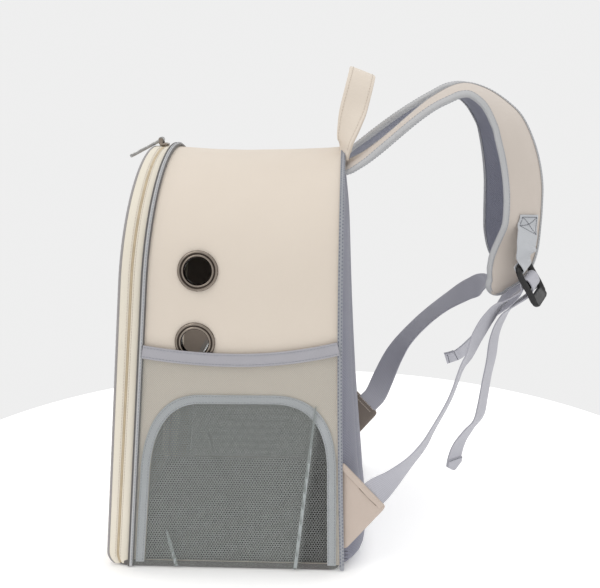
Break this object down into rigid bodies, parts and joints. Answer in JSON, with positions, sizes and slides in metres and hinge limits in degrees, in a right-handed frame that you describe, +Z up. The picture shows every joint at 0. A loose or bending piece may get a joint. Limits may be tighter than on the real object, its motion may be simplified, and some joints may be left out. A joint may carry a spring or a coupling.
{
  "type": "pet carrier backpack",
  "caption": "Arched pet carrier backpack with a zip front band, mesh side windows behind net pockets, round vents, top handle and padded shoulder straps on ladder-lock buckles.",
  "frame": {"origin": "centre of the underside of the base panel", "axes": "+Z up, -Y toward the zip front, +Y toward the wearer's back and the shoulder straps, +X to the wearer's right"},
  "size_m": [0.3108, 0.4652, 0.5089],
  "materials": {
    "cream_cloth": "coated canvas, matte",
    "grey_cloth": "air mesh over padding",
    "grey_trim": "woven binding tape",
    "pocket_mesh": "fine sheer net",
    "window_mesh": "open knitted mesh",
    "grey_webbing": "woven webbing",
    "zip_tape": "coil zip",
    "gunmetal": "dark plated, satin",
    "black_plastic": "moulded, satin"
  },
  "bodies": {
    "bag": {"side_top_panel": "cream_cloth", "base_panel": "cream_cloth", "front_panel": "cream_cloth", "back_panel": "grey_cloth", "zip_band_rear": "cream_cloth", "zipper": "zip_tape", "zip_band_front": "cream_cloth", "front_binding": "grey_trim", "back_binding": "grey_trim", "front_piping": "grey_trim", "zip_slider": "gunmetal", "vent_upper_right": "gunmetal", "vent_lower_right": "gunmetal", "window_net_right": "window_mesh", "window_binding_right": "grey_trim", "pocket_net_right": "pocket_mesh", "pocket_hem_right": "grey_trim", "tab_right": "cream_cloth", "vent_upper_left": "gunmetal", "vent_lower_left": "gunmetal", "window_net_left": "window_mesh", "window_binding_left": "grey_trim", "pocket_net_left": "pocket_mesh", "pocket_hem_left": "grey_trim", "tab_left": "cream_cloth", "carry_handle": "cream_cloth", "strap_cover_right": "cream_cloth", "strap_lining_right": "grey_cloth", "strap_binding_right": "grey_trim", "buckle_loop_right": "grey_webbing", "buckle_right": "black_plastic", "webbing_right": "grey_webbing", "strap_cover_left": "cream_cloth", "strap_lining_left": "grey_cloth", "strap_binding_left": "grey_trim", "buckle_loop_left": "grey_webbing", "buckle_left": "black_plastic", "webbing_left": "grey_webbing"},
    "zip_pull": {"zip_pull": "gunmetal"}
  },
  "joints": [
    {"name": "zip_pull_hinge", "type": "hinge", "parent": "bag", "child": "zip_pull", "pos_m": [0, -0.0792, 0.4303], "axis": [-1, 0, 0], "range_deg": [0, 205]}
  ]
}
